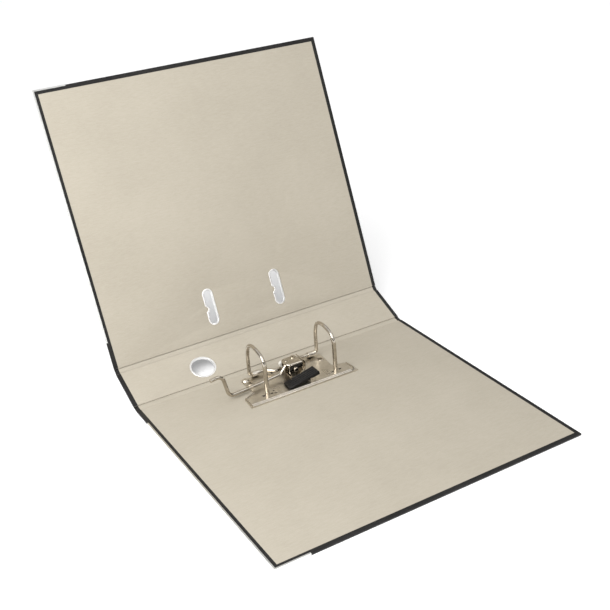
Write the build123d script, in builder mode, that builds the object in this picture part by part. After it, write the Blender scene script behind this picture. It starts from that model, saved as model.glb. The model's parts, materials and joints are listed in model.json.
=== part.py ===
"""Lever arch file, A4, lying open on its back cover.

Three stiff panels (back cover, spine, front cover) joined by paper hinges, with a
two-arch lever mechanism riveted to the back cover near the spine.

Frame: millimetres, +Z up. The origin is the centre of the back cover's outer face, on
the surface the file lies on. -X is the file's bottom edge, +Y points to the spine.
"""

import os
from math import cos, radians, sin, sqrt

from build123d import *

os.makedirs("parts", exist_ok=True)

# ---------------------------------------------------------------- driving dimensions
# Covers and spine
cover_height = 318.0  # along X
cover_width = 285.0  # fore-edge to joint
spine_width = 44.0
joint_gap = 8.0  # between neighbouring boards
board_thickness = 1.8
paper_thickness = 0.25
border_width = 4.4  # turned-in edge of the cover paper, left bare by the liner
hinge_clearance = 0.1  # from a hinge lip's outer edge to the fold line
spine_rest_angle = 23.8  # from horizontal, file lying open
front_rest_angle = 68.5  # from horizontal, file lying open

# Metal edge rails
rail_thickness = 0.4
rail_inner_lip = 1.2
rail_outer_lip = 5.0
rail_joint_margin = 28.0  # from the rail's end to the joint edge
rail_return = 33.0  # along the fore-edge

# Thumb hole and arch slots
thumb_hole_radius = 12.0
thumb_hole_x = -74.0
thumb_hole_setback = 19.2  # hole's middle to the spine's rear joint edge
slot_length = 36.0
slot_width = 8.6
slot_setback = 32.4  # slot's middle to the joint edge
slot_shift = -1.0  # slot's middle line to the arch it takes
slot_bump_radius = 4.5
slot_bump_offset = 1.8  # bump's centre, outside the slot's side
slot_bump_setback = 31.0
slot_bump_corner = 1.2
eyelet_wall = 0.5
eyelet_flange_width = 1.8
eyelet_flange_thickness = 0.3

# Mechanism: base plate
arch_spacing = 80.0
plate_thickness = 1.2
# The plate's outline from its rear left corner, as x and setback
plate_front_setback = 66.0
plate_left_side = [(-50.0, 12.0), (-49.5, 41.5), (-63.0, 47.5), (-64.5, plate_front_setback)]
plate_right_side = [(58.5, plate_front_setback), (57.5, 46.5), (41.5, 42.0), (44.0, 12.0)]
plate_rear_corner = 3.0
plate_front_corner = 7.0
plate_bead_radius = 1.2
plate_bead_pitch = 2.6
plate_bead_left = -62.6
plate_bead_right = 52.0
plate_rib_middles = (-27.0, 31.0)
plate_rib_count = 4
plate_rib_radius = 0.45
plate_rib_pitch = 1.9
plate_rib_length = 13.0
plate_window_centre = (-13.0, -17.0)
plate_window_size = (9.0, 5.0)
# stamped slots beside each post: inward and forward of the post, length, width
plate_stampings = [
    (4.4, 1.4, 2.6, 2.2),
    (-4.4, 1.0, 3.0, 2.6),
    (8.6, 2.6, 4.2, 1.4),
    (8.2, -2.2, 1.8, 1.6),
]
plate_boss_centre = (-46.0, -15.8)
plate_boss_radius = 3.6
plate_boss_height = 1.6
plate_boss_taper = 35.0  # degrees
plate_rivet_radius = 2.4
plate_rivet_bore = 1.8  # radius
plate_rivet_head_radius = 3.4
plate_rivet_head_height = 0.7
plate_rivet_head_edge = 0.4
plate_rivet_xs = {"left": -44.5, "right": 38.2}
plate_rivet_setback = 24.5

# Mechanism: posts and arches
post_radius = 2.2
post_setback = 52.5
post_straight_height = 25.84
post_height = 38.0
post_spigot_radius = 1.6
post_head_radius = 3.0
post_head_height = 1.0
post_head_clearance = 0.2
post_lean = 2.4  # of the tip, towards the arches
tip_angle = 38.0  # of the post's and the arch's tips, from vertical
arch_wire_radius = 1.9
arch_tip_gap = 0.4
arch_pivot_setback = 14.5
arch_pivot_height = 5.0
arch_leg_height = 20.0
# the arch from its leg to its tip, as a setback from the pivot and a height
arch_crown = [(1.5, 34.0), (5.5, 41.6), (13.5, 44.6), (23.5, 43.9), (31.0, 41.8)]
arch_bend_radius = 3.5
crank_setback = 22.0
crank_left_x = -14.0
crank_right_x = 9.0
crank_step = 8.0  # along X, from the crank to the shaft's own line
bearing_width = 8.0
bearing_inset = 3.0  # from the arch's side to the bearing
bearing_clearance = 0.1
bearing_wall = 0.9

# Mechanism: lever
lever_pivot_height = 10.5
lever_pin_radius = 1.5
lever_pin_head_radius = 2.5
lever_pin_head_height = 1.3
lever_pin_head_edge = 0.9
lever_wire_radius = 1.9
hood_sheet = 1.0
hood_roof_rise = 7.3  # lever pin to the roof's top
hood_left = 10.0  # lever pin to the hood's nose
hood_right = 8.5  # lever pin to the hood's tail
hood_rear_setback = 24.4
hood_front_setback = 41.3
hood_bend_radius = 1.8
hood_nose_radius = 6.0
hood_cheek_radius = 6.4  # round the lever pin
hood_lug_radius = 3.0  # round the roller pin
hood_band = 3.65  # height of the roof's straight sides
running_clearance = 0.08  # radial, round a turning pin
side_clearance = 0.4
bracket_sheet = 1.0
bracket_ear_radius = 5.0
bracket_foot_lap = 0.6  # of the bracket's base past the guard's foot
roller_radius = 3.0
roller_width = 3.4
roller_pin_radius = 1.0
roller_pin_head_radius = 1.7
roller_pin_head_height = 0.8
roller_offset = 6.0  # lever pin to roller pin
roller_gap = 0.3  # crank to roller, arches shut
hood_rivet_radius = 2.7
hood_rivet_bore = 1.2
hood_rivet_height = 0.9
hood_rivet_wall = 0.3
hood_rivet_x = 3.5
hood_rivet_setback = 28.8
hood_stud_x = -6.0
hood_stud_setback = 32.0
hood_stud_radius = 1.5
hood_stud_height = 0.6
hood_stud_edge = 0.4

# Mechanism: thumb catch
catch_left = -18.0
catch_right = 16.0
catch_rear_setback = 47.2
catch_front_setback = 60.6
catch_low_top = 4.2
catch_high_top = 12.0
catch_tip_thickness = 2.2
catch_nose_out = 0.8
catch_nose_drop = 3.8
catch_belly_rise = 1.0  # catch pin to the underside's knee
catch_edge_radius = 0.7
catch_pivot_x = 7.5
catch_pivot_height = 5.2
catch_pin_radius = 1.0
catch_boss_radius = 2.4
catch_ear_sheet = 0.8
catch_ear_rise = 2.2  # catch pin to the ears' top
catch_spring_slot = 6.0
catch_spring_wire = 0.3  # radius
catch_spring_turns = 8

# ---------------------------------------------------------------- worked-out values
panel_thickness = board_thickness + 2 * paper_thickness
half_gap = joint_gap / 2
joint_edge_y = cover_width / 2
rear_fold_y = joint_edge_y + half_gap
fold_spacing = spine_width + joint_gap
arch_x = arch_spacing / 2


def panel_plane(fold_y, fold_z, angle):
    """Outer face of a panel that leaves its fold line at an angle from horizontal."""
    tilt = radians(angle)
    return Plane(
        origin=(0, fold_y, fold_z), x_dir=(1, 0, 0), z_dir=(0, -sin(tilt), cos(tilt))
    )


# Each panel's plane starts at its fold line. Its local Y runs away from the fold, and its
# local Z points to the inner face. The back cover's local X is the file's -X.
back_plane = Plane(origin=(0, rear_fold_y, 0), x_dir=(-1, 0, 0), z_dir=(0, 0, 1))
spine_plane = panel_plane(rear_fold_y, 0, spine_rest_angle)
front_fold_y = rear_fold_y + fold_spacing * cos(radians(spine_rest_angle))
front_fold_z = fold_spacing * sin(radians(spine_rest_angle))
front_plane = panel_plane(front_fold_y, front_fold_z, front_rest_angle)

# The mechanism's plane lies on the back cover's liner at the joint edge, so that a
# setback from the joint edge is a local -Y.
mechanism_plane = Plane(origin=(0, joint_edge_y, panel_thickness))


def section_plane(x):
    """Cross-section of the mechanism at x: local X is a setback, local Y a height."""
    return Plane(
        origin=(x, joint_edge_y, panel_thickness), x_dir=(0, -1, 0), z_dir=(-1, 0, 0)
    )


def side_plane(setback):
    """Side view of the mechanism at a setback: local X is the file's X, local Y up."""
    return Plane(
        origin=(0, joint_edge_y - setback, panel_thickness),
        x_dir=(1, 0, 0),
        z_dir=(0, -1, 0),
    )


def finish(piece, name):
    """Label a finished piece and write it."""
    piece.part.label = name
    export_step(piece.part, f"parts/{name}.step")


# ---------------------------------------------------------------- hole outlines
# Thumb hole in the spine
with BuildSketch() as thumb_hole:
    with Locations((thumb_hole_x, half_gap + thumb_hole_setback)):
        Circle(thumb_hole_radius)
with BuildSketch() as thumb_hole_cut:
    offset(thumb_hole.sketch, amount=eyelet_wall)
with BuildSketch() as thumb_hole_recess:
    offset(thumb_hole.sketch, amount=eyelet_flange_width)


def slot_outline(x, grow):
    """One arch slot in the front cover: a pill with a half-round bump on its -X side."""
    with BuildSketch() as outline:
        with Locations((x + slot_shift, half_gap + slot_setback)):
            SlotOverall(slot_length, slot_width, rotation=90)
        bump_x = x + slot_shift - slot_width / 2 - slot_bump_offset
        bump_y = half_gap + slot_bump_setback
        with Locations((bump_x, bump_y)):
            Circle(slot_bump_radius, mode=Mode.SUBTRACT)
        corners = outline.vertices().filter_by_position(
            Axis.Y, bump_y - slot_bump_radius, bump_y + slot_bump_radius
        )
        fillet(corners, slot_bump_corner)
        if grow:
            offset(amount=grow)
    return outline


with BuildSketch() as slot_cuts:
    for slot_x in (-arch_x, arch_x):
        add(slot_outline(slot_x, eyelet_wall).sketch)
with BuildSketch() as slot_recesses:
    for slot_x in (-arch_x, arch_x):
        add(slot_outline(slot_x, eyelet_flange_width).sketch)

# Holes in the back cover for the rivets and the post feet
with BuildSketch() as rivet_holes:
    for rivet_x in plate_rivet_xs.values():
        with Locations((-rivet_x, half_gap + plate_rivet_setback)):
            Circle(plate_rivet_radius)
    for post_x in (-arch_x, arch_x):
        with Locations((-post_x, half_gap + post_setback)):
            Circle(post_head_radius + post_head_clearance)


# ---------------------------------------------------------------- panels
def panel_region(width, side_margin, end_margin):
    """A rectangle over a panel, held back from its ends and from its free edge."""
    with Locations((0, half_gap + (width - end_margin) / 2)):
        Rectangle(cover_height - 2 * side_margin, width - end_margin)


def rail_band(plane, side, inner, reach):
    """The strip that an edge rail covers, as an L round the bottom free corner."""
    edge = side * cover_height / 2
    start = half_gap + rail_joint_margin
    end = half_gap + cover_width
    with BuildSketch(plane) as band:
        with BuildLine():
            Polyline(
                (edge + side * reach, start),
                (edge + side * reach, end + reach),
                (edge - side * rail_return, end + reach),
                (edge - side * rail_return, end - inner),
                (edge - side * inner, end - inner),
                (edge - side * inner, start),
                close=True,
            )
        make_face()
    return band


def make_rail(plane, side):
    """A folded metal rail over the bottom edge, with a return round the corner."""
    with BuildPart() as rail:
        inner_face = plane.offset(panel_thickness)
        for start, lip, height in (
            (plane, rail_outer_lip, rail_thickness),
            (plane, 0, panel_thickness),
            (inner_face, rail_inner_lip, rail_thickness),
        ):
            extrude(rail_band(start, side, lip, rail_thickness).sketch, amount=height)
    return rail


def make_board(plane, width, end_margin, cuts):
    """The grey board inside a panel."""
    with BuildPart() as board:
        with BuildSketch(plane.offset(paper_thickness)):
            panel_region(width, paper_thickness, end_margin)
        extrude(amount=board_thickness)
        for outline, depth in cuts:
            with BuildSketch(plane):
                add(outline)
            extrude(amount=depth, mode=Mode.SUBTRACT)
    return board


def make_sheet(plane, width, end_margin, cuts, fold_lines):
    """The cover paper: outer face, turned-in edges and a hinge lip at each fold."""
    with BuildPart() as sheet:
        with BuildSketch(plane):
            panel_region(width, 0, 0)
        extrude(amount=panel_thickness)
        with BuildSketch(plane.offset(paper_thickness)):
            panel_region(width, paper_thickness, end_margin)
        extrude(amount=board_thickness, mode=Mode.SUBTRACT)
        with BuildSketch(plane.offset(paper_thickness + board_thickness)):
            panel_region(width, border_width, border_width if end_margin else 0)
        extrude(amount=paper_thickness, mode=Mode.SUBTRACT)
        lip_thickness = 2 * paper_thickness
        lip_section = Plane(plane.origin, x_dir=plane.y_dir, z_dir=plane.x_dir)
        for fold_line, away in fold_lines:
            with BuildSketch(lip_section):
                with BuildLine():
                    Polyline(
                        (fold_line + away * hinge_clearance, 0),
                        (fold_line + away * half_gap, 0),
                        (fold_line + away * half_gap, lip_thickness),
                        (fold_line + away * (hinge_clearance + lip_thickness), lip_thickness),
                        close=True,
                    )
                make_face()
            extrude(amount=cover_height / 2, both=True)
        for outline, depth in cuts:
            with BuildSketch(plane):
                add(outline)
            extrude(amount=depth, mode=Mode.SUBTRACT)
    return sheet


def make_liner(plane, width, end_margin, cuts):
    """The lining paper on a panel's inner face."""
    with BuildPart() as liner:
        with BuildSketch(plane.offset(paper_thickness + board_thickness)):
            panel_region(width, border_width, border_width if end_margin else 0)
        extrude(amount=paper_thickness)
        for outline, depth in cuts:
            with BuildSketch(plane):
                add(outline)
            extrude(amount=depth, mode=Mode.SUBTRACT)
    return liner


one_fold = [(0, 1)]
two_folds = [(0, 1), (fold_spacing, -1)]
back_side = 1  # the bottom edge's side in the back cover's own plane
front_side = -1
# Each panel's cuts are an outline in its own plane and a depth from its outer face.
back_cuts = [
    (rivet_holes.sketch, panel_thickness),
    (rail_band(Plane.XY, back_side, rail_outer_lip, 0).sketch, rail_thickness),
]
spine_cuts = [
    (thumb_hole_cut.sketch, panel_thickness),
    (thumb_hole_recess.sketch, eyelet_flange_thickness),
]
front_cuts = [
    (slot_cuts.sketch, panel_thickness),
    (slot_recesses.sketch, eyelet_flange_thickness),
    (rail_band(Plane.XY, front_side, rail_outer_lip, 0).sketch, rail_thickness),
]
for name, plane, width, margin, cuts, folds in (
    ("back", back_plane, cover_width, paper_thickness, back_cuts, one_fold),
    ("spine", spine_plane, spine_width, 0, spine_cuts, two_folds),
    ("front", front_plane, cover_width, paper_thickness, front_cuts, one_fold),
):
    finish(make_board(plane, width, margin, cuts), f"{name}_board")
    finish(make_sheet(plane, width, margin, cuts, folds), f"{name}_sheet")
    finish(make_liner(plane, width, margin, cuts), f"{name}_liner")
finish(make_rail(back_plane, back_side), "back_edge_rail")
finish(make_rail(front_plane, front_side), "front_edge_rail")


# ---------------------------------------------------------------- eyelets
def make_eyelet(plane, outline, hole):
    """A pressed metal eyelet: a barrel and two flanges, the outer one let in flush."""
    with BuildPart() as eyelet:
        with BuildSketch(plane):
            offset(outline, amount=eyelet_wall)
            add(hole, mode=Mode.SUBTRACT)
        extrude(amount=panel_thickness)
        for face in (plane, plane.offset(panel_thickness)):
            with BuildSketch(face):
                offset(outline, amount=eyelet_flange_width)
                add(hole, mode=Mode.SUBTRACT)
            extrude(amount=eyelet_flange_thickness)
    return eyelet


finish(make_eyelet(spine_plane, thumb_hole.sketch, thumb_hole.sketch), "thumb_ring")
for side_name, slot_x in (("left", -arch_x), ("right", arch_x)):
    slot = slot_outline(slot_x, 0).sketch
    finish(make_eyelet(front_plane, slot, slot), f"slot_eyelet_{side_name}")

# ---------------------------------------------------------------- base plate
bead_setbacks = [plate_front_setback - plate_bead_radius - n * plate_bead_pitch for n in (0, 1)]
ear_height = catch_pivot_height + catch_ear_rise
ear_setbacks = (catch_rear_setback - side_clearance, catch_front_setback + side_clearance)
bearing_outer = arch_wire_radius + bearing_clearance + bearing_wall
bearing_inner = arch_wire_radius + bearing_clearance
bearing_leg_setback = arch_pivot_setback - bearing_inner - bearing_wall / 2

# A stamped plate: a wide front wing that carries the posts, tapering to the rear where
# the arches turn. It has a double bead along the front, ribs beside the posts, a curled
# bearing for each arch and two ears for the thumb catch.
with BuildPart() as base_plate:
    with BuildSketch(mechanism_plane):
        with BuildLine():
            Polyline([(x, -d) for x, d in plate_left_side + plate_right_side], close=True)
        outline = make_face()
        fillet(outline.vertices().group_by(Axis.Y)[-1], plate_rear_corner)
        fillet(outline.vertices().group_by(Axis.Y)[0].sort_by(Axis.X)[-1], plate_front_corner)
        with Locations(plate_window_centre):
            Rectangle(*plate_window_size, mode=Mode.SUBTRACT)
        for inward, forward, length, width in plate_stampings:
            for side in (-1, 1):
                with Locations((side * (arch_x - inward), -post_setback - forward)):
                    Rectangle(length, width, mode=Mode.SUBTRACT)
        # rivet holes and post holes
        with Locations([(x, -plate_rivet_setback) for x in plate_rivet_xs.values()]):
            Circle(plate_rivet_radius, mode=Mode.SUBTRACT)
        with Locations((-arch_x, -post_setback), (arch_x, -post_setback)):
            Circle(post_spigot_radius, mode=Mode.SUBTRACT)
    extrude(amount=plate_thickness)
    # double bead along the front edge
    for setback in bead_setbacks:
        with BuildSketch(section_plane(plate_bead_right)):
            with Locations((setback, plate_thickness)):
                Circle(plate_bead_radius)
        extrude(amount=plate_bead_right - plate_bead_left)
    # ribs beside the posts
    for middle in plate_rib_middles:
        for n in range(plate_rib_count):
            rib_x = middle + (n - (plate_rib_count - 1) / 2) * plate_rib_pitch
            with BuildSketch(side_plane(post_setback - plate_rib_length / 2)):
                with Locations((rib_x, plate_thickness)):
                    Circle(plate_rib_radius)
            extrude(amount=plate_rib_length)
    # raised boss at the rear left corner
    with BuildSketch(mechanism_plane.offset(plate_thickness)):
        with Locations(plate_boss_centre):
            Circle(plate_boss_radius)
    extrude(amount=plate_boss_height, taper=plate_boss_taper)
    # curled bearings round the arch wire, each with a leg down its rear side
    for side in (-1, 1):
        x = side * (arch_x - bearing_inset - bearing_width / 2) + bearing_width / 2
        with BuildSketch(section_plane(x)):
            with Locations((arch_pivot_setback, arch_pivot_height)):
                Circle(bearing_outer)
            with Locations((bearing_leg_setback, arch_pivot_height / 2)):
                Rectangle(bearing_wall, arch_pivot_height)
            with Locations((arch_pivot_setback, arch_pivot_height)):
                Circle(bearing_inner, mode=Mode.SUBTRACT)
        extrude(amount=bearing_width)
    # ears for the thumb catch
    for setback, out in zip(ear_setbacks, (-1, 1)):
        with BuildSketch(side_plane(setback)):
            with Locations((catch_pivot_x, (plate_thickness + ear_height) / 2)):
                Rectangle(2 * catch_boss_radius, ear_height - plate_thickness)
            with Locations((catch_pivot_x, catch_pivot_height)):
                Circle(catch_pin_radius, mode=Mode.SUBTRACT)
        extrude(amount=out * catch_ear_sheet)
finish(base_plate, "base_plate")

# ---------------------------------------------------------------- plate rivets
# Tubular rivets through the plate and the cover, flush with the cover's outer face.
rivet_length = panel_thickness + plate_thickness
for side_name, rivet_x in plate_rivet_xs.items():
    rivet_centre = (rivet_x, -plate_rivet_setback)
    with BuildPart() as plate_rivet:
        with BuildSketch(mechanism_plane.offset(-panel_thickness)):
            with Locations(rivet_centre):
                Circle(plate_rivet_radius)
        extrude(amount=rivet_length)
        with BuildSketch(mechanism_plane.offset(plate_thickness)):
            with Locations(rivet_centre):
                Circle(plate_rivet_head_radius)
        extrude(amount=plate_rivet_head_height)
        fillet(plate_rivet.faces().sort_by(Axis.Z)[-1].edges(), plate_rivet_head_edge)
        with BuildSketch(mechanism_plane.offset(plate_thickness + plate_rivet_head_height)):
            with Locations(rivet_centre):
                Circle(plate_rivet_bore)
        extrude(amount=-rivet_length, mode=Mode.SUBTRACT)
    finish(plate_rivet, f"plate_rivet_{side_name}")

# ---------------------------------------------------------------- posts
tip_direction = Vector(0, sin(radians(tip_angle)), cos(radians(tip_angle)))


def mechanism_point(x, setback, height):
    """A point given by its x, its setback from the joint edge and its height."""
    return Vector(x, joint_edge_y - setback, panel_thickness + height)


# Fixed posts, straight for most of their height and leaning back at the tip to meet the
# arches. A spigot through the plate ends in a head clinched in the cover board.
for side_name, post_x in (("left", -arch_x), ("right", arch_x)):
    with BuildPart() as post:
        with BuildLine() as post_path:
            Line(
                mechanism_point(post_x, post_setback, plate_thickness),
                mechanism_point(post_x, post_setback, post_straight_height),
            )
            Spline(
                mechanism_point(post_x, post_setback, post_straight_height),
                mechanism_point(post_x, post_setback - post_lean, post_height),
                tangents=((0, 0, 1), tip_direction),
            )
        with BuildSketch(mechanism_plane.offset(plate_thickness)):
            with Locations((post_x, -post_setback)):
                Circle(post_radius)
        sweep(path=post_path.wire())
        with BuildSketch(mechanism_plane.offset(plate_thickness)):
            with Locations((post_x, -post_setback)):
                Circle(post_spigot_radius)
        extrude(amount=-plate_thickness)
        with BuildSketch(mechanism_plane):
            with Locations((post_x, -post_setback)):
                Circle(post_head_radius)
        extrude(amount=-post_head_height)
    finish(post, f"post_{side_name}")

# ---------------------------------------------------------------- arch wire
# One bent wire: an arch at each end, a shaft along the rear in the bearings, and a crank
# stepped forward under the lever.
arch_tip_setback = post_setback - post_lean - arch_tip_gap * tip_direction.Y
arch_tip_height = post_height + arch_tip_gap * tip_direction.Z
shaft_points = [
    (-arch_x, arch_pivot_setback, arch_leg_height),
    (-arch_x, arch_pivot_setback, arch_pivot_height),
    (crank_left_x - crank_step, arch_pivot_setback, arch_pivot_height),
    (crank_left_x, crank_setback, arch_pivot_height),
    (crank_right_x, crank_setback, arch_pivot_height),
    (crank_right_x + crank_step, arch_pivot_setback, arch_pivot_height),
    (arch_x, arch_pivot_setback, arch_pivot_height),
    (arch_x, arch_pivot_setback, arch_leg_height),
]
arch_points = [
    (arch_pivot_setback, arch_leg_height),
    *[(arch_pivot_setback + reach, height) for reach, height in arch_crown],
    (arch_tip_setback, arch_tip_height),
]

with BuildPart() as arch_wire:
    with BuildLine() as arch_path:
        FilletPolyline([mechanism_point(*p) for p in shaft_points], radius=arch_bend_radius)
        for x in (-arch_x, arch_x):
            Spline(
                [mechanism_point(x, *p) for p in arch_points],
                tangents=((0, 0, 1), -tip_direction),
            )
    arch_start = mechanism_point(-arch_x, *arch_points[-1])
    with BuildSketch(Plane(arch_start, z_dir=tip_direction)):
        Circle(arch_wire_radius)
    sweep(path=arch_path.wire())
finish(arch_wire, "arch_wire")

# ---------------------------------------------------------------- lever bracket
# Fixed to the plate: two ears that hold the lever pin, and a curved guard behind the
# lever's tail that stops papers and fingers.
bracket_rear = hood_rear_setback + hood_sheet + side_clearance
bracket_front = hood_front_setback - hood_sheet - side_clearance
guard_inner = sqrt(hood_right**2 + hood_roof_rise**2) + side_clearance
guard_outer = guard_inner + bracket_sheet
guard_depth = bracket_front - crank_setback - arch_wire_radius - 2 * side_clearance
guard_foot_x = sqrt(guard_inner**2 - (lever_pivot_height - plate_thickness) ** 2)
hood_height = lever_pivot_height + hood_roof_rise
pivot_point = (0, lever_pivot_height)
with BuildPart() as lever_bracket:
    with BuildSketch(mechanism_plane.offset(plate_thickness)):
        with Locations((-bracket_ear_radius, -bracket_front)):
            Rectangle(
                bracket_ear_radius + guard_foot_x + bracket_foot_lap,
                bracket_front - bracket_rear,
                align=(Align.MIN, Align.MIN),
            )
    extrude(amount=bracket_sheet)
    for setback, inward in ((bracket_rear, 1), (bracket_front, -1)):
        with BuildSketch(side_plane(setback)):
            with Locations(pivot_point):
                Circle(bracket_ear_radius)
            with Locations((0, (plate_thickness + lever_pivot_height) / 2)):
                Rectangle(2 * bracket_ear_radius, lever_pivot_height - plate_thickness)
            with Locations(pivot_point):
                Circle(lever_pin_radius, mode=Mode.SUBTRACT)
        extrude(amount=inward * bracket_sheet)
    with BuildSketch(side_plane(bracket_front)):
        with Locations(pivot_point):
            Circle(guard_outer)
            Circle(guard_inner, mode=Mode.SUBTRACT)
        with Locations((guard_foot_x, plate_thickness)):
            Rectangle(
                guard_outer,
                hood_height - plate_thickness,
                align=(Align.MIN, Align.MIN),
                mode=Mode.INTERSECT,
            )
    extrude(amount=-guard_depth)
finish(lever_bracket, "lever_bracket")

# ---------------------------------------------------------------- lever pin
pin_head_setback = hood_front_setback + side_clearance / 2
with BuildPart() as lever_pin:
    with BuildSketch(side_plane(hood_rear_setback)):
        with Locations(pivot_point):
            Circle(lever_pin_radius)
    extrude(amount=pin_head_setback - hood_rear_setback)
    with BuildSketch(side_plane(pin_head_setback)):
        with Locations(pivot_point):
            Circle(lever_pin_head_radius)
    extrude(amount=lever_pin_head_height)
    fillet(lever_pin.faces().sort_by(Axis.Y)[0].edges(), lever_pin_head_edge)
finish(lever_pin, "lever_pin")

# ---------------------------------------------------------------- lever hood
# A folded sheet over the bracket: a roof with a rounded nose and two cheeks that turn on
# the lever pin. The rear cheek also carries the roller pin.
hood_middle_setback = (hood_rear_setback + hood_front_setback) / 2
hood_depth = hood_front_setback - hood_rear_setback
crank_top = arch_pivot_height + arch_wire_radius
roller_height = crank_top + roller_gap + roller_radius
with BuildPart() as lever_hood:
    with BuildSketch(mechanism_plane):
        with Locations(((hood_right - hood_left) / 2, -hood_middle_setback)):
            Rectangle(hood_left + hood_right, hood_depth)
    extrude(amount=hood_height)
    with BuildSketch(side_plane(hood_front_setback)):
        with Locations(pivot_point):
            Circle(hood_cheek_radius)
        with Locations((-roller_offset, roller_height)):
            Circle(hood_lug_radius)
        with Locations(((hood_right - hood_left) / 2, hood_height - hood_band / 2)):
            Rectangle(hood_left + hood_right, hood_band)
        make_hull()
    extrude(amount=-hood_depth, mode=Mode.INTERSECT)
    vertical = lever_hood.edges().filter_by(Axis.Z).group_by(Axis.X)[0]
    fillet(vertical, hood_nose_radius)
    fillet(lever_hood.faces().sort_by(Axis.Z)[-1].edges(), hood_bend_radius)
    with BuildSketch(mechanism_plane):
        with Locations((0, -hood_middle_setback)):
            Rectangle(3 * hood_left, hood_depth - 2 * hood_sheet)
    extrude(amount=hood_height - hood_sheet, mode=Mode.SUBTRACT)
    with BuildSketch(side_plane(hood_front_setback)):
        with Locations(pivot_point):
            Circle(lever_pin_radius + running_clearance)
    extrude(amount=-hood_depth, mode=Mode.SUBTRACT)
    with BuildSketch(side_plane(hood_rear_setback)):
        with Locations((-roller_offset, roller_height)):
            Circle(roller_pin_radius)
    extrude(amount=hood_sheet, mode=Mode.SUBTRACT)
    with BuildSketch(mechanism_plane.offset(hood_height)):
        with Locations((hood_rivet_x, -hood_rivet_setback)):
            Circle(hood_rivet_bore)
    extrude(amount=-hood_sheet, mode=Mode.SUBTRACT)
finish(lever_hood, "lever_hood")

# ---------------------------------------------------------------- hood rivet and stud
with BuildPart() as hood_rivet:
    with BuildSketch(mechanism_plane.offset(hood_height)):
        with Locations((hood_rivet_x, -hood_rivet_setback)):
            Circle(hood_rivet_radius)
            Circle(hood_rivet_bore - hood_rivet_wall, mode=Mode.SUBTRACT)
    extrude(amount=hood_rivet_height)
    with BuildSketch(mechanism_plane.offset(hood_height)):
        with Locations((hood_rivet_x, -hood_rivet_setback)):
            Circle(hood_rivet_bore)
            Circle(hood_rivet_bore - hood_rivet_wall, mode=Mode.SUBTRACT)
    extrude(amount=-hood_sheet)
finish(hood_rivet, "hood_rivet")

with BuildPart() as hood_stud:
    with BuildSketch(mechanism_plane.offset(hood_height)):
        with Locations((hood_stud_x, -hood_stud_setback)):
            Circle(hood_stud_radius)
    extrude(amount=hood_stud_height)
    fillet(hood_stud.faces().sort_by(Axis.Z)[-1].edges(), hood_stud_edge)
finish(hood_stud, "hood_stud")

# ---------------------------------------------------------------- roller
roller_front = crank_setback - roller_width / 2
with BuildPart() as roller_pin:
    with BuildSketch(side_plane(roller_front - side_clearance - roller_pin_head_height)):
        with Locations((-roller_offset, roller_height)):
            Circle(roller_pin_head_radius)
    extrude(amount=roller_pin_head_height)
    with BuildSketch(side_plane(roller_front - side_clearance)):
        with Locations((-roller_offset, roller_height)):
            Circle(roller_pin_radius)
    extrude(amount=hood_rear_setback + hood_sheet - roller_front + side_clearance)
finish(roller_pin, "roller_pin")

with BuildPart() as crank_roller:
    with BuildSketch(side_plane(roller_front)):
        with Locations((-roller_offset, roller_height)):
            Circle(roller_radius)
            Circle(roller_pin_radius + running_clearance, mode=Mode.SUBTRACT)
    extrude(amount=roller_width)
finish(crank_roller, "crank_roller")

# ---------------------------------------------------------------- lever wire
# A finger lever bent from wire: fixed under the hood's roof, it drops out of the nose,
# passes low through the left arch and rises into an S-shaped finger end.
lever_root_height = hood_height - hood_sheet - lever_wire_radius
lever_points = [
    (-1.0, 33.0, lever_root_height),
    (-6.5, 33.6, lever_root_height),
    (-15.0, 34.8, 6.9),
    (-40.0, 36.9, 5.6),
    (-75.1, 38.8, 4.6),
    (-80.9, 39.8, 31.2),
    (-94.0, 40.8, 30.0),
]
lever_bends = (5.0, 7.0, 40.0, 7.0, 8.0)
with BuildPart() as lever_wire:
    with BuildLine() as lever_path:
        FilletPolyline([mechanism_point(*p) for p in lever_points], radius=lever_bends)
    with BuildSketch(Plane(lever_path.wire() @ 0, z_dir=lever_path.wire() % 0)):
        Circle(lever_wire_radius)
    sweep(path=lever_path.wire())
finish(lever_wire, "lever_wire")

# ---------------------------------------------------------------- thumb catch
# A tapered rocker. Its boss turns on a pin in the plate's
# ears, and a torsion spring in the boss pushes its high end up.
catch_depth = catch_front_setback - catch_rear_setback
catch_middle_setback = (catch_rear_setback + catch_front_setback) / 2
with BuildPart() as thumb_catch:
    with BuildSketch(side_plane(catch_rear_setback)):
        with BuildLine():
            Polyline(
                (catch_left, catch_low_top - catch_tip_thickness),
                (catch_left, catch_low_top),
                (catch_right, catch_high_top),
                (catch_right + catch_nose_out, catch_high_top - catch_nose_drop),
                (catch_pivot_x, catch_pivot_height + catch_belly_rise),
                close=True,
            )
        make_face()
    extrude(amount=catch_depth)
    top_face = thumb_catch.faces().filter_by(lambda f: f.normal_at().Z > 0.9).sort_by(Axis.Z)[-1]
    fillet(top_face.edges(), catch_edge_radius)
    with BuildSketch(side_plane(catch_rear_setback)):
        with Locations((catch_pivot_x, catch_pivot_height)):
            Circle(catch_boss_radius)
    extrude(amount=catch_depth)
    with BuildSketch(side_plane(catch_rear_setback)):
        with Locations((catch_pivot_x, catch_pivot_height)):
            Circle(catch_pin_radius + running_clearance)
    extrude(amount=catch_depth, mode=Mode.SUBTRACT)
    with BuildSketch(side_plane(catch_middle_setback - catch_spring_slot / 2)):
        with Locations((catch_pivot_x, catch_pivot_height)):
            Circle(catch_boss_radius + side_clearance / 2)
    extrude(amount=catch_spring_slot, mode=Mode.SUBTRACT)
finish(thumb_catch, "thumb_catch")

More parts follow.
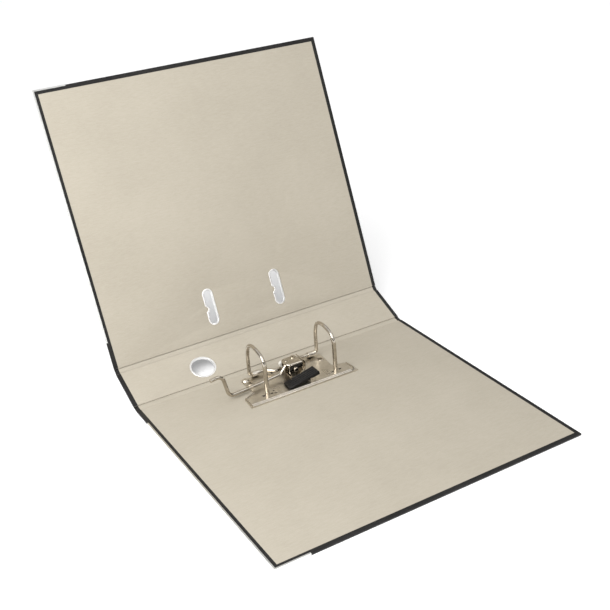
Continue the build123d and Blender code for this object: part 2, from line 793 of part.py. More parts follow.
with BuildPart() as catch_pin:
    with BuildSketch(side_plane(ear_setbacks[0] - catch_ear_sheet)):
        with Locations((catch_pivot_x, catch_pivot_height)):
            Circle(catch_pin_radius)
    extrude(amount=ear_setbacks[1] - ear_setbacks[0] + 2 * catch_ear_sheet)
finish(catch_pin, "catch_pin")

# A close-wound torsion spring on the pin.
spring_radius = catch_pin_radius + catch_spring_wire + side_clearance / 4
spring_pitch = 1.8 * catch_spring_wire
spring_rear = catch_middle_setback - spring_pitch * (catch_spring_turns - 1) / 2
pin_line = Axis(mechanism_point(catch_pivot_x, 0, catch_pivot_height), (0, 1, 0))
with BuildPart() as catch_spring:
    with BuildSketch(section_plane(catch_pivot_x)):
        for n in range(catch_spring_turns):
            with Locations((spring_rear + n * spring_pitch, catch_pivot_height + spring_radius)):
                Circle(catch_spring_wire)
    revolve(axis=pin_line)
finish(catch_spring, "catch_spring")
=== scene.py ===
import json
from math import atan2, cos, degrees, radians, sin, sqrt

import bmesh
import bpy
from mathutils import Matrix, Vector


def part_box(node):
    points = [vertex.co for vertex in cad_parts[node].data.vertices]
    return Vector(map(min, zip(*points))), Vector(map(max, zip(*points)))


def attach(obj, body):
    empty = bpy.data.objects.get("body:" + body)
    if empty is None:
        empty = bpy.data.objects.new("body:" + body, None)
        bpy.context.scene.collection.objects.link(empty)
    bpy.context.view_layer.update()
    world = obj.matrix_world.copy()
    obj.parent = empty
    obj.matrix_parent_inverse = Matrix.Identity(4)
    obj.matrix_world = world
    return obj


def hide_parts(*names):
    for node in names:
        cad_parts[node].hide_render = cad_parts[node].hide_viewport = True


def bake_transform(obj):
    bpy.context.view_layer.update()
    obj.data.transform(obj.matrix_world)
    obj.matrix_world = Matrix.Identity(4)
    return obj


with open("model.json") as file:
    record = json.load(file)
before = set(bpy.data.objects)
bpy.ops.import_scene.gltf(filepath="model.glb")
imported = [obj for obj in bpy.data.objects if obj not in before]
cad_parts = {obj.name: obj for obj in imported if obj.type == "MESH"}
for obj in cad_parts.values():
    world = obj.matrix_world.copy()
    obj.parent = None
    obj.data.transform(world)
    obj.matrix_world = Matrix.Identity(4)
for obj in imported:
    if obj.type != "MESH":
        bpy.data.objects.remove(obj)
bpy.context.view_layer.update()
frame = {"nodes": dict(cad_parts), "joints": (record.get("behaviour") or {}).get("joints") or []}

# ---- Grey boards ----
# The core of each panel is a plate of grey recycled board, 1.8 mm thick, punched for the
# eyelets and rivets. Paper is glued over both faces, so it shows only in punched holes.


def new_group(name, inputs, outputs):
    """A shader group with float inputs, given as name and default, and float outputs."""
    group = bpy.data.node_groups.new(name, "ShaderNodeTree")
    for label, value in inputs:
        socket = group.interface.new_socket(label, in_out="INPUT", socket_type="NodeSocketFloat")
        socket.default_value = value
    for label in outputs:
        group.interface.new_socket(label, in_out="OUTPUT", socket_type="NodeSocketFloat")
    return group, group.nodes.new("NodeGroupInput"), group.nodes.new("NodeGroupOutput")


def math_node(tree, operation, a, b):
    """A Math node whose inputs are sockets or numbers."""
    node = tree.nodes.new("ShaderNodeMath")
    node.operation = operation
    for socket, value in zip(node.inputs, (a, b)):
        if isinstance(value, (int, float)):
            socket.default_value = value
        else:
            tree.links.new(value, socket)
    return node.outputs[0]


def uneven(tree, scale, detail, amount, stretch=(1, 1, 1)):
    """Noise on Object coordinates, centred on zero and times an amount."""
    place = tree.nodes.new("ShaderNodeTexCoord")
    mapping = tree.nodes.new("ShaderNodeMapping")
    mapping.inputs["Scale"].default_value = stretch
    noise = tree.nodes.new("ShaderNodeTexNoise")
    noise.inputs["Scale"].default_value = scale
    noise.inputs["Detail"].default_value = detail
    noise.inputs["Roughness"].default_value = 0.6
    tree.links.new(place.outputs["Object"], mapping.inputs["Vector"])
    tree.links.new(mapping.outputs["Vector"], noise.inputs["Vector"])
    centred = math_node(tree, "SUBTRACT", noise.outputs["Fac"], 0.5)
    return math_node(tree, "MULTIPLY", centred, amount)


# Board and both papers share a felted surface: soft clouds of tone, short fibres that lie
# along the sheet, and a fine tooth.
felted_skin, skin_in, skin_out = new_group(
    "felted_skin",
    [("Clouds", 0.5), ("Fibres", 0.5), ("Tooth", 0.5)],
    ["Tone", "Height"],
)
clouds = uneven(felted_skin, 14, 3, skin_in.outputs["Clouds"])
fibres = uneven(felted_skin, 160, 4, skin_in.outputs["Fibres"], stretch=(1, 7, 7))
tooth = uneven(felted_skin, 1600, 2, skin_in.outputs["Tooth"])
surface = math_node(felted_skin, "ADD", fibres, tooth)
tone = math_node(felted_skin, "ADD", math_node(felted_skin, "ADD", clouds, surface), 0.5)
felted_skin.links.new(tone, skin_out.inputs["Tone"])
felted_skin.links.new(surface, skin_out.inputs["Height"])


def new_material(name, roughness, metallic=0.0):
    """A material with its Principled shader set to even values."""
    material = bpy.data.materials.new(name)
    material.use_nodes = True
    shader = material.node_tree.nodes["Principled BSDF"]
    shader.inputs["Roughness"].default_value = roughness
    shader.inputs["Metallic"].default_value = metallic
    return material, shader


def skin_colour(material, shader, group, values, dark, light):
    """Place a shared skin in a material, and colour the shader by the skin's tone."""
    tree = material.node_tree
    skin = tree.nodes.new("ShaderNodeGroup")
    skin.node_tree = group
    for label, value in values.items():
        skin.inputs[label].default_value = value
    ramp = tree.nodes.new("ShaderNodeValToRGB")
    for element, position, colour in zip(ramp.color_ramp.elements, (0.25, 0.75), (dark, light)):
        element.position = position
        element.color = (*colour, 1)
    tree.links.new(skin.outputs["Tone"], ramp.inputs["Fac"])
    tree.links.new(ramp.outputs["Color"], shader.inputs["Base Color"])
    return skin


def skin_bump(material, shader, skin, distance, strength):
    """Turn a skin's height into relief."""
    bump = material.node_tree.nodes.new("ShaderNodeBump")
    bump.inputs["Distance"].default_value = distance
    bump.inputs["Strength"].default_value = strength
    material.node_tree.links.new(skin.outputs["Height"], bump.inputs["Height"])
    material.node_tree.links.new(bump.outputs["Normal"], shader.inputs["Normal"])


def sheet_material(name, roughness, values, dark, light, relief):
    """A board or paper from the felted skin."""
    material, shader = new_material(name, roughness)
    skin = skin_colour(material, shader, felted_skin, values, dark, light)
    skin_bump(material, shader, skin, distance=relief, strength=0.4)
    return material


def carry(node, material):
    """Give a carried CAD node its material."""
    piece = frame["nodes"][node]
    piece.data.materials.clear()
    piece.data.materials.append(material)
    return piece


grey_board = sheet_material(
    "grey_board",
    0.9,
    {"Clouds": 0.5, "Fibres": 0.9, "Tooth": 0.9},
    (0.24, 0.22, 0.20),
    (0.36, 0.34, 0.31),
    0.00015,
)
panel_names = ("back", "spine", "front")
for name in panel_names:
    carry(name + "_board", grey_board)

# ---- Cover paper ----
# Black embossed paper is glued over each board's outer face and turned in over its edges.
# It is punched with a thumb hole in the spine and two arch slots in the front cover.

# Three stiff panels hinge on two fold lines along X. Each panel has its own flat space:
# x along the fold, s away from it (negative on the back cover) and n towards the inside.
joints = {j["name"]: j for j in frame["joints"]}
rear_fold = Vector(joints["spine_fold"]["pos_m"])
front_fold = Vector(joints["front_fold"]["pos_m"])
spine_angle = radians(-joints["spine_fold"]["range_deg"][0])
front_angle = spine_angle + radians(-joints["front_fold"]["range_deg"][0])
spaces = {
    name: Matrix.Translation(fold) @ Matrix.Rotation(angle, 4, "X")
    for name, fold, angle in (
        ("back", rear_fold, 0),
        ("spine", rear_fold, spine_angle),
        ("front", front_fold, front_angle),
    )
}
cover_height = 0.318
cover_width = 0.285
spine_width = 0.044
joint_gap = 0.008
joint_edge = joint_gap / 2
panel_thickness = 0.0023
spans = {
    "back": (-joint_edge - cover_width, -joint_edge),
    "spine": (joint_edge, joint_edge + spine_width),
    "front": (joint_edge, joint_edge + cover_width),
}
thumb_radius = 0.012
thumb_x = -0.074
thumb_s = joint_edge + 0.0192
arch_x = 0.040
slot_half_length = 0.0180
slot_radius = 0.0043
slot_shift = -0.001
slot_s = joint_edge + 0.0324
bump_radius = 0.0045
bump_offset = 0.0018
bump_corner = 0.0012
bump_s = joint_edge + 0.0310
eyelet_wall = 0.0005


def arc(centre, radius, start, end, steps):
    """Points on an arc in a panel's flat space, angles in degrees."""
    turns = [radians(start + (end - start) * i / steps) for i in range(steps + 1)]
    return [(centre[0] + radius * cos(a), centre[1] + radius * sin(a)) for a in turns]


def thumb_outline(grow=0.0):
    """The thumb hole's edge, grown outwards."""
    return arc((thumb_x, thumb_s), thumb_radius + grow, 0, 360, 64)[:-1]


def slot_outline(middle_x, grow=0.0):
    """A slot's edge, grown outwards: a pill with a half-round bump on its -X side."""
    x = middle_x + slot_shift
    reach = slot_half_length - slot_radius
    side = x - slot_radius
    # each corner arc is tangent to the slot's side and to the bump
    corner_x = side + bump_corner
    corner_rise = sqrt((bump_radius + bump_corner) ** 2 - (bump_offset + bump_corner) ** 2)
    turn = degrees(atan2(corner_rise, bump_offset + bump_corner))
    bump_centre = (side - bump_offset, bump_s)
    points = arc((x, slot_s + reach), slot_radius + grow, 0, 180, 20)
    points += arc((corner_x, bump_s + corner_rise), bump_corner + grow, 180, 180 + turn, 6)
    points += arc(bump_centre, bump_radius - grow, turn, -turn, 14)
    points += arc((corner_x, bump_s - corner_rise), bump_corner + grow, 180 - turn, 180, 6)
    points += arc((x, slot_s - reach), slot_radius + grow, 180, 360, 20)
    return points


holes = {
    "back": [],
    "spine": [thumb_outline(eyelet_wall)],
    "front": [slot_outline(x, eyelet_wall) for x in (-arch_x, arch_x)],
}


merge_distance = 1e-6
sharp_angle = radians(35)


def finish_mesh(name, mesh):
    """Link a mesh as a piece, merged, facing outwards and smooth except at sharp edges."""
    work = bmesh.new()
    work.from_mesh(mesh)
    bmesh.ops.remove_doubles(work, verts=work.verts, dist=merge_distance)
    bmesh.ops.recalc_face_normals(work, faces=work.faces)
    work.to_mesh(mesh)
    work.free()
    mesh.shade_smooth()
    mesh.set_sharp_from_angle(angle=sharp_angle)
    piece = bpy.data.objects.new(name, mesh)
    bpy.context.scene.collection.objects.link(piece)
    return piece


def as_mesh(template):
    """The mesh that an object gives once its curve or modifiers are worked out."""
    bpy.context.scene.collection.objects.link(template)
    bpy.context.view_layer.update()
    graph = bpy.context.evaluated_depsgraph_get()
    mesh = bpy.data.meshes.new_from_object(template.evaluated_get(graph))
    bpy.data.objects.remove(template)
    return mesh


def flat_slab(name, outline, cuts, bottom, top, edge_radius, space):
    """A closed slab with rounded edges, cut from an outline with holes."""
    curve = bpy.data.curves.new(name, "CURVE")
    curve.dimensions = "2D"
    curve.fill_mode = "BOTH"
    curve.extrude = (top - bottom) / 2 - edge_radius
    curve.bevel_depth = edge_radius
    curve.bevel_resolution = 3
    curve.offset = -edge_radius
    for loop in [outline] + cuts:
        spline = curve.splines.new("POLY")
        spline.points.add(len(loop) - 1)
        for point, (x, s) in zip(spline.points, loop):
            point.co = (x, s, 0, 1)
        spline.use_cyclic_u = True
    mesh = as_mesh(bpy.data.objects.new(name + "_template", curve))
    mesh.transform(space @ Matrix.Translation((0, 0, (bottom + top) / 2)))
    return finish_mesh(name, mesh)


def rectangle(span, side_margin, near_margin, far_margin):
    """A panel's outline, held back from its sides and from its two ends."""
    half = cover_height / 2 - side_margin
    low = span[0] + near_margin
    high = span[1] - far_margin
    return [(-half, low), (half, low), (half, high), (-half, high)]


cover_paper = sheet_material(
    "cover_paper",
    0.48,
    {"Clouds": 0.7, "Fibres": 0.8, "Tooth": 0.9},
    (0.003, 0.003, 0.003),
    (0.018, 0.017, 0.016),
    0.00030,
)
cover_paper.node_tree.nodes["Principled BSDF"].inputs["Specular IOR Level"].default_value = 0.3
# The metal trim stands this far proud of the cover paper, on the outer and inner faces.
trim_rise = 0.00008
sheet_edge_radius = 0.0004
for name in panel_names:
    sheet = flat_slab(
        name + "_cover_sheet",
        rectangle(spans[name], 0, 0, 0),
        holes[name],
        trim_rise,
        panel_thickness - trim_rise,
        sheet_edge_radius,
        spaces[name],
    )
    sheet.data.materials.append(cover_paper)
    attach(sheet, name)
    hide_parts(name + "_sheet")

# ---- Lining paper ----
# A sheet of buff lining paper is glued inside each panel, over the turned-in cover paper.
# It is cut smaller all round, which leaves a narrow black border.
border = 0.0044
liner_thickness = 0.0003
liner_edge_radius = 0.00006
lining_paper = sheet_material(
    "lining_paper",
    0.78,
    {"Clouds": 0.5, "Fibres": 0.7, "Tooth": 0.5},
    (0.372, 0.336, 0.270),
    (0.438, 0.399, 0.328),
    0.00012,
)
for name in panel_names:
    lining = flat_slab(
        name + "_lining",
        rectangle(
            spans[name],
            border,
            border if name == "back" else 0,
            border if name == "front" else 0,
        ),
        holes[name],
        panel_thickness - liner_thickness,
        panel_thickness,
        liner_edge_radius,
        spaces[name],
    )
    lining.data.materials.append(lining_paper)
    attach(lining, name)
    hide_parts(name + "_liner")

# ---- Paper hinges ----
# Between two boards the papers are glued face to face into a thin strip, creased where it
# leaves each board. The lining steps down from one board and up to the next, so that two
# fine lines run along each joint.
crease_blend = 0.0012


def hinge_map(fold, angle_a, angle_b):
    """A function from a hinge's flat space to the file's own, bent at its two creases."""
    run_a = Vector((0, cos(angle_a), sin(angle_a)))
    run_b = Vector((0, cos(angle_b), sin(angle_b)))
    start = fold - joint_edge * run_a
    end = fold + joint_edge * run_b
    chord = (end - start).normalized()

    def bent(x, s, n):
        if s <= -joint_edge:
            base = start + (s + joint_edge) * run_a
        elif s >= joint_edge:
            base = end + (s - joint_edge) * run_b
        else:
            base = start.lerp(end, (s + joint_edge) / joint_gap)
        near_a = min(max((-joint_edge + crease_blend / 2 - s) / crease_blend, 0), 1)
        near_b = min(max((s - joint_edge + crease_blend / 2) / crease_blend, 0), 1)
        run = (chord + near_a * (run_a - chord) + near_b * (run_b - chord)).normalized()
        return base + n * Vector((0, -run.z, run.y)) + Vector((x, 0, 0))

    return bent, start, end


def hinge_strip(name, bent, section, half_length, columns):
    """A closed strip along a fold line, from the outline of its section."""
    points = []
    faces = []
    count = len(section)
    for i in range(columns + 1):
        x = -half_length + 2 * half_length * i / columns
        points += [tuple(bent(x, s, n)) for s, n in section]
    for i in range(columns):
        for k in range(count):
            a = i * count + k
            b = i * count + (k + 1) % count
            faces.append((a, b, b + count, a + count))
    faces.append(tuple(range(count)))
    faces.append(tuple(range(columns * count, (columns + 1) * count)))
    mesh = bpy.data.meshes.new(name)
    mesh.from_pydata(points, [], faces)
    return finish_mesh(name, mesh)


def mirrored(points):
    """Section points on both sides of the fold. They are given from a board's edge
    towards the fold, and from the board's inner face."""
    near = [(s - joint_edge, panel_thickness + n) for s, n in points]
    return near + [(-s, n) for s, n in reversed(near)]


lining_top = mirrored(
    [
        (-0.0016, 0.00002),
        (-0.0003, 0.00006),
        (0.0, -0.00002),
        (0.00014, -0.0004),
        (0.0004, -0.0011),
        (0.0008, -0.00135),
        (0.0014, -0.0012),
        (0.0028, -0.00105),
    ]
)
core_top = mirrored(
    [(-0.0004, -0.0006), (0.0, -0.0007), (0.0005, -0.0015), (0.0014, -0.0014), (0.0028, -0.0012)]
)
core_under = mirrored(
    [(-0.0004, -0.0022), (0.0, -0.0022), (0.0008, -0.00195), (0.0028, -0.0019)]
)
lining_sheet = 0.00022
core_margin = 0.0001
hinge_columns = 40
for name, fold, angle_a, angle_b, body_a, body_b in (
    ("rear_hinge", rear_fold, 0.0, spine_angle, "back", "spine"),
    ("front_hinge", front_fold, spine_angle, front_angle, "spine", "front"),
):
    bent, start, end = hinge_map(fold, angle_a, angle_b)
    under = [(s, n - lining_sheet) for s, n in reversed(lining_top)]
    half_length = cover_height / 2
    for part, section, margin, material, slot in (
        ("lining", lining_top + under, border, lining_paper, "lining_paper"),
        ("paper", core_top + core_under[::-1], core_margin, cover_paper, "cover_paper"),
    ):
        strip = hinge_strip(f"{name}_{part}", bent, section, half_length - margin, hinge_columns)
        strip.data.materials.append(material)
        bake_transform(strip)

# ---- Edge rails ----
# A channel of thin bright-plated steel is pressed over the bottom edge of each cover, where
# the file slides on the shelf, and turns round the outer corner.

# Metals and mouldings share a handled skin: smudges that change the gloss, and a fine grain
# left by rolling, drawing or the mould.
handled_skin, skin_in, skin_out = new_group(
    "handled_skin",
    [("Gloss", 0.2), ("Smudge", 0.1), ("Grain", 0.3)],
    ["Tone", "Roughness", "Height"],
)
smudge = uneven(handled_skin, 120, 3, 1.0)
gloss = math_node(handled_skin, "MULTIPLY", smudge, skin_in.outputs["Smudge"])
grain = uneven(handled_skin, 700, 2, skin_in.outputs["Grain"])
handled_skin.links.new(math_node(handled_skin, "ADD", smudge, 0.5), skin_out.inputs["Tone"])
handled_skin.links.new(
    math_node(handled_skin, "ADD", skin_in.outputs["Gloss"], gloss), skin_out.inputs["Roughness"]
)
handled_skin.links.new(grain, skin_out.inputs["Height"])


def handled_material(name, metallic, values, dark, light, relief):
    """A metal or a moulded plastic from the handled skin."""
    material, shader = new_material(name, values["Gloss"], metallic)
    skin = skin_colour(material, shader, handled_skin, values, dark, light)
    material.node_tree.links.new(skin.outputs["Roughness"], shader.inputs["Roughness"])
    skin_bump(material, shader, skin, distance=relief, strength=0.3)
    return material


def soften_edges(node, width):
    """Round off a carried node's sheared edges, so that they catch the light."""
    piece = frame["nodes"][node]
    weld = piece.modifiers.new("weld", "WELD")
    weld.merge_threshold = merge_distance
    bevel = piece.modifiers.new("bevel", "BEVEL")
    bevel.width = width
    bevel.segments = 2
    bevel.limit_method = "ANGLE"
    bevel.angle_limit = radians(40)


rail_edge = 0.00012
rail_metal = handled_material(
    "rail_metal",
    1.0,
    {"Gloss": 0.32, "Smudge": 0.2, "Grain": 0.3},
    (0.70, 0.70, 0.68),
    (0.84, 0.84, 0.82),
    0.00003,
)
for node in ("back_edge_rail", "front_edge_rail"):
    carry(node, rail_metal)
    soften_edges(node, rail_edge)

# ---- Eyelets ----
# Each hole is edged with a pressed metal eyelet: a thin barrel through the board and a
# rounded rim rolled over on the inner face. On the outer face the rim is let in flush.
eyelet_rim = 0.0018
rim_height = 0.0003
let_in = 0.0005
eyelet_metal = handled_material(
    "eyelet_metal",
    1.0,
    {"Gloss": 0.34, "Smudge": 0.1, "Grain": 0.2},
    (0.88, 0.87, 0.85),
    (0.96, 0.96, 0.95),
    0.00003,
)
# part, growth of its outline, bottom, top, radius of its edges
eyelet_parts = (
    ("_pressed", eyelet_rim, panel_thickness - rim_height, panel_thickness + rim_height, 0.00028),
    ("_back", eyelet_rim, 0.0, let_in, 0.0002),
    ("_barrel", eyelet_wall, 0.0002, panel_thickness, 0.00005),
)
for node, body, outline, middle in (
    ("thumb_ring", "spine", thumb_outline, ()),
    ("slot_eyelet_left", "front", slot_outline, (-arch_x,)),
    ("slot_eyelet_right", "front", slot_outline, (arch_x,)),
):
    inner = outline(*middle)
    shells = [
        flat_slab(node + part, outline(*middle, grow), [inner], bottom, top, radius, spaces[body])
        for part, grow, bottom, top, radius in eyelet_parts
    ]
    with bpy.context.temp_override(active_object=shells[0], selected_editable_objects=shells):
        bpy.ops.object.join()
    shells[0].data.materials.append(eyelet_metal)
    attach(shells[0], body)
    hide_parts(node)

# ---- Base plate ----
# A nickel-plated steel stamping with a double bead along the front, ribs, stamped slots
# and curled bearings for the arch wire. A lip is turned up along its two ends.
nickel = handled_material(
    "nickel_plate",
    1.0,
    {"Gloss": 0.15, "Smudge": 0.14, "Grain": 0.3},
    (0.40, 0.36, 0.30),
    (0.62, 0.57, 0.49),
    0.00002,
)
plate_nickel = handled_material(
    "plate_nickel",
    1.0,
    {"Gloss": 0.30, "Smudge": 0.14, "Grain": 0.3},
    (0.52, 0.48, 0.41),
    (0.72, 0.67, 0.59),
    0.00002,
)
stamped_edge = 0.00015
carry("base_plate", plate_nickel)
soften_edges("base_plate", stamped_edge)

plate_thickness = 0.0012
plate_top = panel_thickness + plate_thickness
# setbacks on the back cover are measured from its edge at the joint, which lies at this y
joint_edge_y = cover_width / 2
lip_radius = 0.0010
lip_sink = 0.0003


def plate_lip(name, route):
    """A rounded lip at an end of the plate, along points given as x and setback."""
    curve = bpy.data.curves.new(name, "CURVE")
    curve.dimensions = "3D"
    curve.bevel_depth = lip_radius
    curve.bevel_resolution = 5
    curve.use_fill_caps = True
    spline = curve.splines.new("POLY")
    spline.points.add(len(route) - 1)
    for point, (x, setback) in zip(spline.points, route):
        point.co = (x, joint_edge_y - setback, plate_top - lip_sink, 1)
    lip = finish_mesh(name, as_mesh(bpy.data.objects.new(name + "_template", curve)))
    lip.data.materials.append(nickel)
    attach(lip, "back")


plate_lip("plate_lip_left", [(-0.0500, 0.0424), (-0.0619, 0.0481), (-0.0635, 0.0640)])
plate_lip(
    "plate_lip_right", [(0.0562, 0.0473), (0.0572, 0.0580), (0.0555, 0.0624), (0.0520, 0.0648)]
)
# The plate is pressed hollow, so its window and the stamped slots beside the posts open on
# an unlit space. Painted shade: in each of them, a black patch just over the lining stands
# in for the shade under the raised plate.
painted_shade_black = sheet_material(
    "painted_shade_black",
    0.9,
    {"Clouds": 0.3, "Fibres": 0.4, "Tooth": 0.4},
    (0.006, 0.005, 0.004),
    (0.014, 0.012, 0.010),
    0.00005,
)
post_setback = 0.0525
shade_patch_top = panel_thickness + 0.0004
shade_patch_edge_radius = 0.00005
# the window: x, setback, length along the plate, width
shade_patches = [(-0.0130, 0.0170, 0.0090, 0.0050)]
# beside each post: inward and forward of it, length, width
for inward, forward, length, width in (
    (0.0044, 0.0014, 0.0026, 0.0022),
    (-0.0044, 0.0010, 0.0030, 0.0026),
    (0.0086, 0.0026, 0.0042, 0.0014),
    (0.0082, -0.0022, 0.0018, 0.0016),
):
    for side in (-1, 1):
        shade_patches.append((side * (arch_x - inward), post_setback + forward, length, width))
shells = []
for x, setback, length, width in shade_patches:
    half_x = length / 2
    half_y = width / 2
    corners = [(-half_x, -half_y), (half_x, -half_y), (half_x, half_y), (-half_x, half_y)]
    place = Matrix.Translation((x, joint_edge_y - setback, 0))
    shells.append(
        flat_slab(
            "plate_shade_patch", corners, [], panel_thickness, shade_patch_top, shade_patch_edge_radius, place
        )
    )
with bpy.context.temp_override(active_object=shells[0], selected_editable_objects=shells):
    bpy.ops.object.join()
# painted shade: these black patches are not a part of the file, only the shade under the plate
shells[0].name = "plate_painted_shade"
shells[0].data.materials.append(painted_shade_black)
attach(shells[0], "back")

# ---- Plate rivets ----
# Two tubular rivets go through the plate and the back cover and are rolled over on top.
# The tube stays open, so each shows as a bright ring round a dark hole.
for node in ("plate_rivet_left", "plate_rivet_right"):
    carry(node, nickel)

# ---- Posts and arches ----
# Two straight wire posts are clinched into the plate. The arches are the two ends of one
# bent wire that turns in the plate's bearings, with its middle cranked under the lever.
for node in ("post_left", "post_right", "arch_wire"):
    carry(node, nickel)

# ---- Lever bracket and pin ----
# A folded steel bracket is fixed to the plate. Its two ears hold the pin that the lever
# turns on, and its curved guard closes the gap behind the hood.
for node in ("lever_bracket", "lever_pin"):
    carry(node, nickel)
soften_edges("lever_bracket", stamped_edge)

# ---- Lever hood, rivet and stud ----
# The hood is drawn from steel sheet, with a rounded nose and two cheeks on the pin. A
# hollow rivet and a stud in its roof hold the lever wire underneath.
drawn_edge = 0.0002
for node in ("lever_hood", "hood_rivet", "hood_stud"):
    carry(node, nickel)
soften_edges("lever_hood", drawn_edge)

# ---- Lever wire ----
# One length of plated wire: it leaves the hood's nose, runs low through the left arch and
# rises into a bent finger end.
carry("lever_wire", nickel)

# ---- Roller and its pin ----
# A natural nylon roller under the hood presses the crank down as the lever closes. It
# turns on a steel pin riveted in the hood's rear cheek.
roller_plastic = handled_material(
    "roller_plastic",
    0.0,
    {"Gloss": 0.48, "Smudge": 0.15, "Grain": 0.5},
    (0.62, 0.60, 0.55),
    (0.74, 0.73, 0.69),
    0.00003,
)
carry("crank_roller", roller_plastic)
carry("roller_pin", nickel)

# ---- Thumb catch ----
# A black moulded rocker that is pressed to release the lever. Fine grip ridges run along
# its sloping top.
catch_plastic = handled_material(
    "catch_plastic",
    0.0,
    {"Gloss": 0.36, "Smudge": 0.25, "Grain": 0.8},
    (0.004, 0.004, 0.004),
    (0.011, 0.010, 0.010),
    0.00004,
)
catch_plastic.node_tree.nodes["Principled BSDF"].inputs["Specular IOR Level"].default_value = 0.25
# the two ends of its top, as x and height over the lining
catch_low = Vector((-0.018, 0.0042))
catch_high = Vector((0.016, 0.0120))
catch_slope = atan2(catch_high.y - catch_low.y, catch_high.x - catch_low.x)
ridge_values = {"Count": 4, "Pitch": 0.0028, "Length": 0.0290, "Radius": 0.00085}
ridge_sink = 0.00035

ridge_tree = bpy.data.node_groups.new("catch_ridges", "GeometryNodeTree")
ridge_tree.is_modifier = True
ridge_sockets = {}
for label in ridge_values:
    kind = "NodeSocketInt" if label == "Count" else "NodeSocketFloat"
    ridge_sockets[label] = ridge_tree.interface.new_socket(label, in_out="INPUT", socket_type=kind)
ridge_tree.interface.new_socket("Geometry", in_out="OUTPUT", socket_type="NodeSocketGeometry")


def ridge_node(kind, links, **settings):
    """A node of the ridge tree, with its settings and the sockets that feed it."""
    node = ridge_tree.nodes.new(kind)
    for setting, value in settings.items():
        setattr(node, setting, value)
    for label, value in links.items():
        if isinstance(value, bpy.types.NodeSocket):
            ridge_tree.links.new(value, node.inputs[label])
        else:
            node.inputs[label].default_value = value
    return node


def ridge_maths(operation, a, b):
    """The result of a Math node of the ridge tree."""
    node = ridge_node("ShaderNodeMath", {0: a, 1: b}, operation=operation)
    return node.outputs[0]


given = ridge_node("NodeGroupInput", {}).outputs
last = ridge_maths("MULTIPLY", ridge_maths("SUBTRACT", given["Count"], 1.0), given["Pitch"])
first = ridge_node("ShaderNodeCombineXYZ", {"Y": ridge_maths("MULTIPLY", last, -0.5)})
step = ridge_node("ShaderNodeCombineXYZ", {"Y": given["Pitch"]})
row = ridge_node(
    "GeometryNodeMeshLine",
    {"Count": given["Count"], "Start Location": first.outputs[0], "Offset": step.outputs[0]},
)
near_end, far_end = (
    ridge_node("ShaderNodeCombineXYZ", {"X": ridge_maths("MULTIPLY", given["Length"], share)})
    for share in (-0.5, 0.5)
)
line = ridge_node(
    "GeometryNodeCurvePrimitiveLine",
    {"Start": near_end.outputs[0], "End": far_end.outputs[0]},
)
points = ridge_node("GeometryNodeResampleCurve", {"Curve": line.outputs[0], "Count": 24})
# the ridge thins towards both ends
along = ridge_node("GeometryNodeSplineParameter", {}).outputs["Factor"]
from_middle = ridge_maths("SUBTRACT", ridge_maths("MULTIPLY", along, 2.0), 1.0)
outward = ridge_maths("ABSOLUTE", from_middle, 0.0)
taper = ridge_maths("SUBTRACT", 1.0, ridge_maths("POWER", outward, 12.0))
thinned = ridge_node(
    "GeometryNodeSetCurveRadius",
    {"Curve": points.outputs[0], "Radius": ridge_maths("MAXIMUM", taper, 0.3)},
)
ring = ridge_node("GeometryNodeCurvePrimitiveCircle", {"Resolution": 12, "Radius": given["Radius"]})
ridge = ridge_node(
    "GeometryNodeCurveToMesh",
    {"Curve": thinned.outputs[0], "Profile Curve": ring.outputs[0], "Fill Caps": True},
)
ridges = ridge_node(
    "GeometryNodeInstanceOnPoints",
    {"Points": row.outputs[0], "Instance": ridge.outputs[0]},
)
real = ridge_node("GeometryNodeRealizeInstances", {"Geometry": ridges.outputs[0]})
painted = ridge_node(
    "GeometryNodeSetMaterial",
    {"Geometry": real.outputs[0], "Material": catch_plastic},
)
ridge_node("NodeGroupOutput", {"Geometry": painted.outputs[0]})

template = bpy.data.objects.new("catch_ridge_template", bpy.data.meshes.new("catch_ridge_template"))
modifier = template.modifiers.new("ridges", "NODES")
modifier.node_group = ridge_tree
for label, value in ridge_values.items():
    modifier[ridge_sockets[label].identifier] = value
ridge_mesh = as_mesh(template)
low_corner, high_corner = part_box("thumb_catch")
top_middle = Vector(
    (
        (catch_low.x + catch_high.x) / 2,
        (low_corner[1] + high_corner[1]) / 2,
        panel_thickness + (catch_low.y + catch_high.y) / 2,
    )
)
ridge_mesh.transform(
    Matrix.Translation(top_middle)
    @ Matrix.Rotation(-catch_slope, 4, "Y")
    @ Matrix.Translation((0, 0, -ridge_sink))
)
work = bmesh.new()
work.from_mesh(frame["nodes"]["thumb_catch"].data)
work.from_mesh(ridge_mesh)
catch_mesh = bpy.data.meshes.new("thumb_catch_moulded")
work.to_mesh(catch_mesh)
work.free()
catch = finish_mesh("thumb_catch_moulded", catch_mesh)
catch.data.materials.clear()
catch.data.materials.append(catch_plastic)
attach(catch, "catch")
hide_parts("thumb_catch")

# ---- Catch pin and spring ----
# The catch rocks on a plain steel pin in the plate's ears. A close-wound torsion spring on
# the pin, in a slot of the catch's boss, lifts its high end.
spring_steel = handled_material(
    "spring_steel",
    1.0,
    {"Gloss": 0.3, "Smudge": 0.1, "Grain": 0.3},
    (0.35, 0.35, 0.35),
    (0.50, 0.50, 0.50),
    0.00002,
)
carry("catch_pin", nickel)
carry("catch_spring", spring_steel)

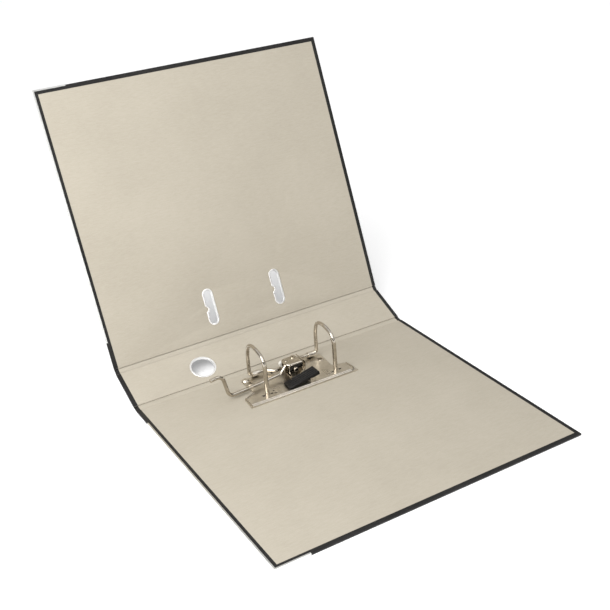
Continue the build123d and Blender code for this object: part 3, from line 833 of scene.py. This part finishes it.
# ---- Floor, light and camera ----
# A white studio floor under a soft overhead sky with darker walls, with two broad lights
# and two lamps in front and on the left. The camera looks down on the open file.
floor_size = 30.0
floor_drop = 0.0002
floor_mesh = bpy.data.meshes.new("studio_floor")
corners = [
    (x * floor_size, y * floor_size, -floor_drop) for x, y in ((-1, -1), (1, -1), (1, 1), (-1, 1))
]
floor_mesh.from_pydata(corners, [], [(0, 1, 2, 3)])
floor = bpy.data.objects.new("studio_floor", floor_mesh)
bpy.context.scene.collection.objects.link(floor)
floor_paint, shader = new_material("floor_paint", 0.7)
shader.inputs["Base Color"].default_value = (1, 1, 1, 1)
shader.inputs["Specular IOR Level"].default_value = 0.1
shader.inputs["Emission Color"].default_value = (1, 1, 1, 1)
shader.inputs["Emission Strength"].default_value = 0.12
floor.data.materials.append(floor_paint)

world = bpy.data.worlds.new("studio")
bpy.context.scene.world = world
world.use_nodes = True
sky = world.node_tree
direction = sky.nodes.new("ShaderNodeTexCoord")
split = sky.nodes.new("ShaderNodeSeparateXYZ")
sky_levels = sky.nodes.new("ShaderNodeValToRGB")
# brightness by height: dark walls up to a third, then a bright ceiling
level_stops = ((0.0, 0.10), (0.30, 0.14), (0.50, 0.42), (0.72, 0.80), (1.0, 0.92))
while len(sky_levels.color_ramp.elements) < len(level_stops):
    sky_levels.color_ramp.elements.new(0.5)
for element, (position, level) in zip(sky_levels.color_ramp.elements, level_stops):
    element.position = position
    element.color = (level, level, level, 1)
sky.links.new(direction.outputs["Generated"], split.inputs["Vector"])
sky.links.new(split.outputs["Z"], sky_levels.inputs["Fac"])
sky.links.new(sky_levels.outputs["Color"], sky.nodes["Background"].inputs["Color"])
# the wall behind the file is seen white, whatever it sheds
seen = sky.nodes.new("ShaderNodeLightPath")
seen_white = sky.nodes.new("ShaderNodeBackground")
seen_white.inputs["Strength"].default_value = 1.2
either = sky.nodes.new("ShaderNodeMixShader")
sky.links.new(seen.outputs["Is Camera Ray"], either.inputs["Fac"])
sky.links.new(sky.nodes["Background"].outputs[0], either.inputs[1])
sky.links.new(seen_white.outputs[0], either.inputs[2])
sky.links.new(either.outputs[0], sky.nodes["World Output"].inputs["Surface"])


def aim(lamp, source):
    """Turn a lamp so that its light comes from a direction."""
    lamp.rotation_euler = Vector(source).to_track_quat("Z", "Y").to_euler()
    bpy.context.scene.collection.objects.link(lamp)


for name, source, spread, strength in (
    ("key_light", (-0.45, -0.62, 0.66), 25, 0.82),
    ("fill_light", (0.62, -0.35, 0.70), 40, 0.38),
):
    light = bpy.data.lights.new(name, "SUN")
    light.angle = radians(spread)
    light.energy = strength
    aim(bpy.data.objects.new(name, light), source)
# a big lamp close on the left, and a narrow one in front that draws streaks on the wires
for name, place, width, length, power in (
    ("side_light", (-0.90, -0.25, 0.75), 0.8, 0.8, 12),
    ("strip_light", (0.35, -1.30, 0.50), 0.12, 1.0, 2.5),
):
    light = bpy.data.lights.new(name, "AREA")
    light.shape = "RECTANGLE"
    light.size = width
    light.size_y = length
    light.energy = power
    lamp = bpy.data.objects.new(name, light)
    lamp.location = place
    aim(lamp, place)

camera_place = Vector((-0.41470, -0.70644, 0.53239))
camera_azimuth = radians(-29.20)
camera_elevation = radians(28.13)
camera_roll = radians(-4.085)
back = Vector(
    (
        sin(camera_azimuth) * cos(camera_elevation),
        -cos(camera_azimuth) * cos(camera_elevation),
        sin(camera_elevation),
    )
)
right = (-back).cross(Vector((0, 0, 1))).normalized()
up = back.cross(right)
rolled_right = cos(camera_roll) * right + sin(camera_roll) * up
rolled_up = cos(camera_roll) * up - sin(camera_roll) * right
camera_data = bpy.data.cameras.new("camera")
camera_data.sensor_width = 36
camera_data.lens = 60.57
camera_data.shift_x = -0.0331
camera_data.shift_y = 0.0528
camera_data.clip_start = 0.01
camera = bpy.data.objects.new("camera", camera_data)
turn = Matrix((rolled_right, rolled_up, back)).transposed().to_4x4()
camera.matrix_world = Matrix.Translation(camera_place) @ turn
bpy.context.scene.collection.objects.link(camera)
bpy.context.scene.camera = camera
bpy.context.scene.view_settings.view_transform = "Standard"
